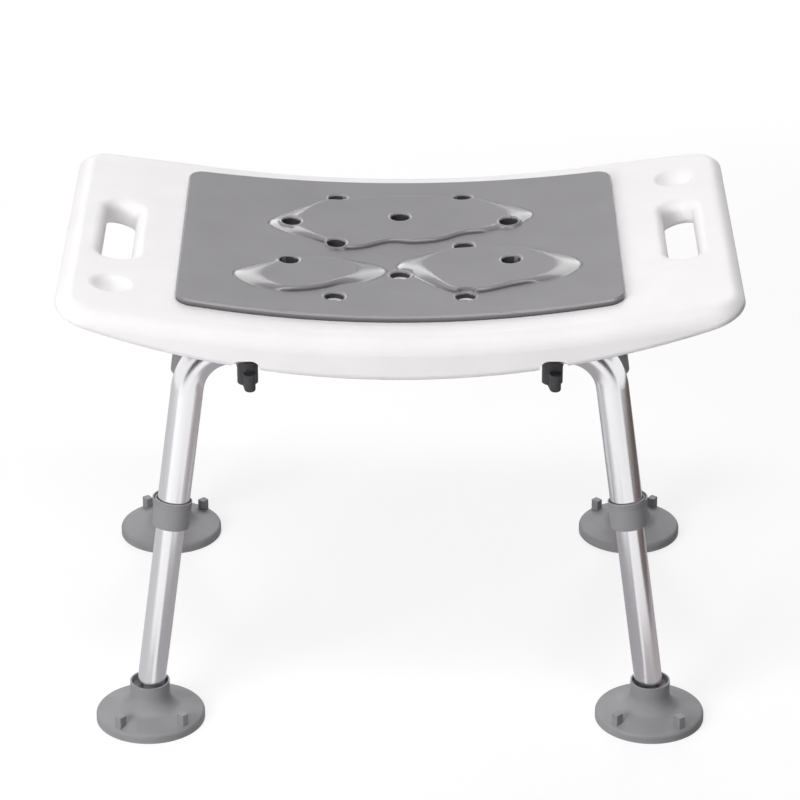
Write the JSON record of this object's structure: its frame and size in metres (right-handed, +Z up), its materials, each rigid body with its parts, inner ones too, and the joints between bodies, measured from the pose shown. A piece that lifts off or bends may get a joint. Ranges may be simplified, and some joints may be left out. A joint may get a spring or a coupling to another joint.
{
  "type": "shower stool",
  "caption": "Shower stool: curved moulded seat with hand holes at both ends, a grey foam pad, telescoping splayed aluminium legs and rubber suction feet.",
  "frame": {"origin": "on the floor, below the middle of the seat", "axes": "+X along the seat's length to the right as seen from the front, +Y to the back, +Z up"},
  "size_m": [0.5198, 0.3964, 0.3531],
  "materials": {
    "seat_plastic": "satin white moulded plastic",
    "pad_foam": "matt closed-cell foam",
    "tube_aluminium": "satin anodised",
    "collar_plastic": "matt grey",
    "foot_rubber": "matt grey rubber",
    "knob_plastic": "matt charcoal",
    "brass": "turned",
    "spring_steel": "bright",
    "stud_steel": "zinc plated"
  },
  "bodies": {
    "seat": {"seat_shell": "seat_plastic", "seat_pad": "pad_foam", "arm_plugs": "knob_plastic", "thread_inserts": "brass", "upper_tube_front_left": "tube_aluminium", "collar_front_left": "collar_plastic", "upper_tube_front_right": "tube_aluminium", "collar_front_right": "collar_plastic", "upper_tube_back_left": "tube_aluminium", "collar_back_left": "collar_plastic", "upper_tube_back_right": "tube_aluminium", "collar_back_right": "collar_plastic"},
    "leg_front_left": {"lower_tube_front_left": "tube_aluminium", "ball_tip_front_left": "collar_plastic", "button_spring_front_left": "spring_steel"},
    "button_front_left": {"height_button_front_left": "spring_steel"},
    "foot_front_left": {"suction_foot_front_left": "foot_rubber"},
    "washer_front_left": {"saddle_washer_front_left": "knob_plastic"},
    "knob_front_left": {"wing_knob_front_left": "knob_plastic", "knob_stud_front_left": "stud_steel"},
    "leg_front_right": {"lower_tube_front_right": "tube_aluminium", "ball_tip_front_right": "collar_plastic", "button_spring_front_right": "spring_steel"},
    "button_front_right": {"height_button_front_right": "spring_steel"},
    "foot_front_right": {"suction_foot_front_right": "foot_rubber"},
    "washer_front_right": {"saddle_washer_front_right": "knob_plastic"},
    "knob_front_right": {"wing_knob_front_right": "knob_plastic", "knob_stud_front_right": "stud_steel"},
    "leg_back_left": {"lower_tube_back_left": "tube_aluminium", "ball_tip_back_left": "collar_plastic", "button_spring_back_left": "spring_steel"},
    "button_back_left": {"height_button_back_left": "spring_steel"},
    "foot_back_left": {"suction_foot_back_left": "foot_rubber"},
    "washer_back_left": {"saddle_washer_back_left": "knob_plastic"},
    "knob_back_left": {"wing_knob_back_left": "knob_plastic", "knob_stud_back_left": "stud_steel"},
    "leg_back_right": {"lower_tube_back_right": "tube_aluminium", "ball_tip_back_right": "collar_plastic", "button_spring_back_right": "spring_steel"},
    "button_back_right": {"height_button_back_right": "spring_steel"},
    "foot_back_right": {"suction_foot_back_right": "foot_rubber"},
    "washer_back_right": {"saddle_washer_back_right": "knob_plastic"},
    "knob_back_right": {"wing_knob_back_right": "knob_plastic", "knob_stud_back_right": "stud_steel"}
  },
  "joints": [
    {"name": "leg_slide_front_left", "type": "slide", "parent": "seat", "child": "leg_front_left", "axis": [-0.1316, -0.1239, -0.9835], "range_m": [0, 0.06]},
    {"name": "button_press_front_left", "type": "slide", "parent": "leg_front_left", "child": "button_front_left", "axis": [0.0164, -0.9923, 0.1228], "range_m": [0, 0.0032], "stiffness_N_per_m": 1200, "deforming": ["button_spring_front_left"]},
    {"name": "foot_tilt_front_left", "type": "hinge", "parent": "leg_front_left", "child": "foot_front_left", "pos_m": [-0.1953, -0.1557, 0.022], "axis": [0.6855, -0.7281, 0], "range_deg": [-22, 3]},
    {"name": "washer_slide_front_left", "type": "slide", "parent": "seat", "child": "washer_front_left", "axis": [0, 0, -1], "range_m": [0, 0.006]},
    {"name": "knob_turn_front_left", "type": "hinge", "parent": "washer_front_left", "child": "knob_front_left", "pos_m": [-0.116, -0.1203, 0.2885], "axis": [0, 0, -1], "range_deg": [0, 2161]},
    {"name": "leg_slide_front_right", "type": "slide", "parent": "seat", "child": "leg_front_right", "axis": [0.1316, -0.1239, -0.9835], "range_m": [0, 0.06]},
    {"name": "button_press_front_right", "type": "slide", "parent": "leg_front_right", "child": "button_front_right", "axis": [-0.0164, -0.9923, 0.1228], "range_m": [0, 0.0032], "stiffness_N_per_m": 1200, "deforming": ["button_spring_front_right"]},
    {"name": "foot_tilt_front_right", "type": "hinge", "parent": "leg_front_right", "child": "foot_front_right", "pos_m": [0.1953, -0.1557, 0.022], "axis": [0.6855, 0.7281, 0], "range_deg": [-22, 3]},
    {"name": "washer_slide_front_right", "type": "slide", "parent": "seat", "child": "washer_front_right", "axis": [0, 0, -1], "range_m": [0, 0.006]},
    {"name": "knob_turn_front_right", "type": "hinge", "parent": "washer_front_right", "child": "knob_front_right", "pos_m": [0.116, -0.1203, 0.2885], "axis": [0, 0, -1], "range_deg": [0, 2161]},
    {"name": "leg_slide_back_left", "type": "slide", "parent": "seat", "child": "leg_back_left", "axis": [-0.1316, 0.1239, -0.9835], "range_m": [0, 0.06]},
    {"name": "button_press_back_left", "type": "slide", "parent": "leg_back_left", "child": "button_back_left", "axis": [0.0164, 0.9923, 0.1228], "range_m": [0, 0.0032], "stiffness_N_per_m": 1200, "deforming": ["button_spring_back_left"]},
    {"name": "foot_tilt_back_left", "type": "hinge", "parent": "leg_back_left", "child": "foot_back_left", "pos_m": [-0.1953, 0.1557, 0.022], "axis": [-0.6855, -0.7281, 0], "range_deg": [-22, 3]},
    {"name": "washer_slide_back_left", "type": "slide", "parent": "seat", "child": "washer_back_left", "axis": [0, 0, -1], "range_m": [0, 0.006]},
    {"name": "knob_turn_back_left", "type": "hinge", "parent": "washer_back_left", "child": "knob_back_left", "pos_m": [-0.116, 0.1203, 0.2885], "axis": [0, 0, -1], "range_deg": [0, 2161]},
    {"name": "leg_slide_back_right", "type": "slide", "parent": "seat", "child": "leg_back_right", "axis": [0.1316, 0.1239, -0.9835], "range_m": [0, 0.06]},
    {"name": "button_press_back_right", "type": "slide", "parent": "leg_back_right", "child": "button_back_right", "axis": [-0.0164, 0.9923, 0.1228], "range_m": [0, 0.0032], "stiffness_N_per_m": 1200, "deforming": ["button_spring_back_right"]},
    {"name": "foot_tilt_back_right", "type": "hinge", "parent": "leg_back_right", "child": "foot_back_right", "pos_m": [0.1953, 0.1557, 0.022], "axis": [-0.6855, 0.7281, 0], "range_deg": [-22, 3]},
    {"name": "washer_slide_back_right", "type": "slide", "parent": "seat", "child": "washer_back_right", "axis": [0, 0, -1], "range_m": [0, 0.006]},
    {"name": "knob_turn_back_right", "type": "hinge", "parent": "washer_back_right", "child": "knob_back_right", "pos_m": [0.116, 0.1203, 0.2885], "axis": [0, 0, -1], "range_deg": [0, 2161]}
  ],
  "couplings": [
    {"joint": "knob_turn_front_left", "follows": "washer_slide_front_left", "rad_per_m": 6283.2},
    {"joint": "knob_turn_front_right", "follows": "washer_slide_front_right", "rad_per_m": 6283.2},
    {"joint": "knob_turn_back_left", "follows": "washer_slide_back_left", "rad_per_m": 6283.2},
    {"joint": "knob_turn_back_right", "follows": "washer_slide_back_right", "rad_per_m": 6283.2}
  ]
}
